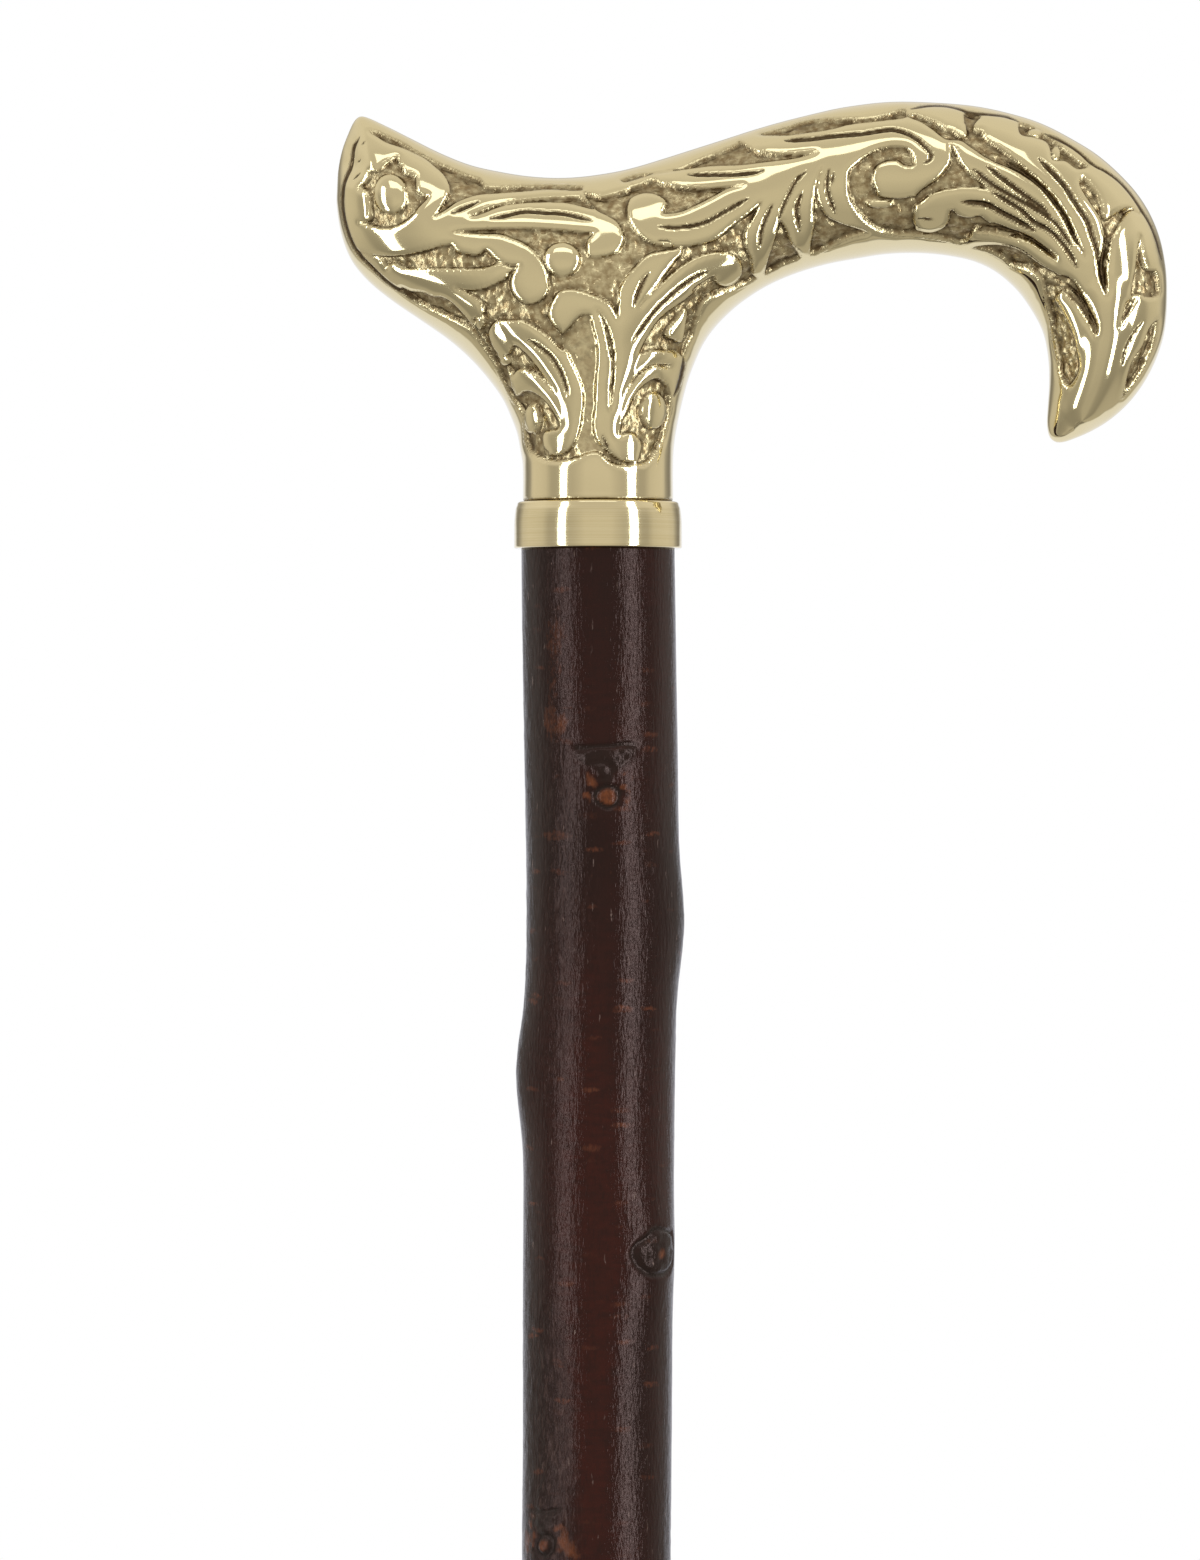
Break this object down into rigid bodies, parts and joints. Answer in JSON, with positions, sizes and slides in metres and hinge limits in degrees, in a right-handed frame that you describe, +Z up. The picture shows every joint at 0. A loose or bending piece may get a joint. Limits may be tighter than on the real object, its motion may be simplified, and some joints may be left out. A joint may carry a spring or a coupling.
{
  "type": "walking stick",
  "caption": "Blackthorn walking stick with a cast brass derby handle, a turned brass collar and a pull-off rubber ferrule.",
  "frame": {"origin": "centre of the ferrule's sole, on the axis of the shaft's turned ends", "axes": "+Z up the shaft, +X towards the nose of the handle, and the handle is alike on its +Y and -Y sides"},
  "size_m": [0.1247, 0.036, 0.9141],
  "materials": {
    "cast_brass": "cast, polished on the raised ornament and darkened in its ground",
    "turned_brass": "turned and polished",
    "beech": "bare turned wood",
    "zinc_plated_steel": "zinc plated",
    "blackthorn": "bark left on, trimmed knots, clear varnish",
    "ferrule_rubber": "moulded matte"
  },
  "bodies": {
    "stick": {"handle": "cast_brass", "neck_plug": "beech", "threaded_insert": "zinc_plated_steel", "stud": "zinc_plated_steel", "collar": "turned_brass", "shaft": "blackthorn"},
    "tip": {"ferrule_washer": "zinc_plated_steel", "ferrule": "ferrule_rubber"}
  },
  "joints": [
    {"name": "ferrule_pull", "type": "slide", "parent": "stick", "child": "tip", "axis": [0, 0, -1], "range_m": [0, 0.04]}
  ]
}
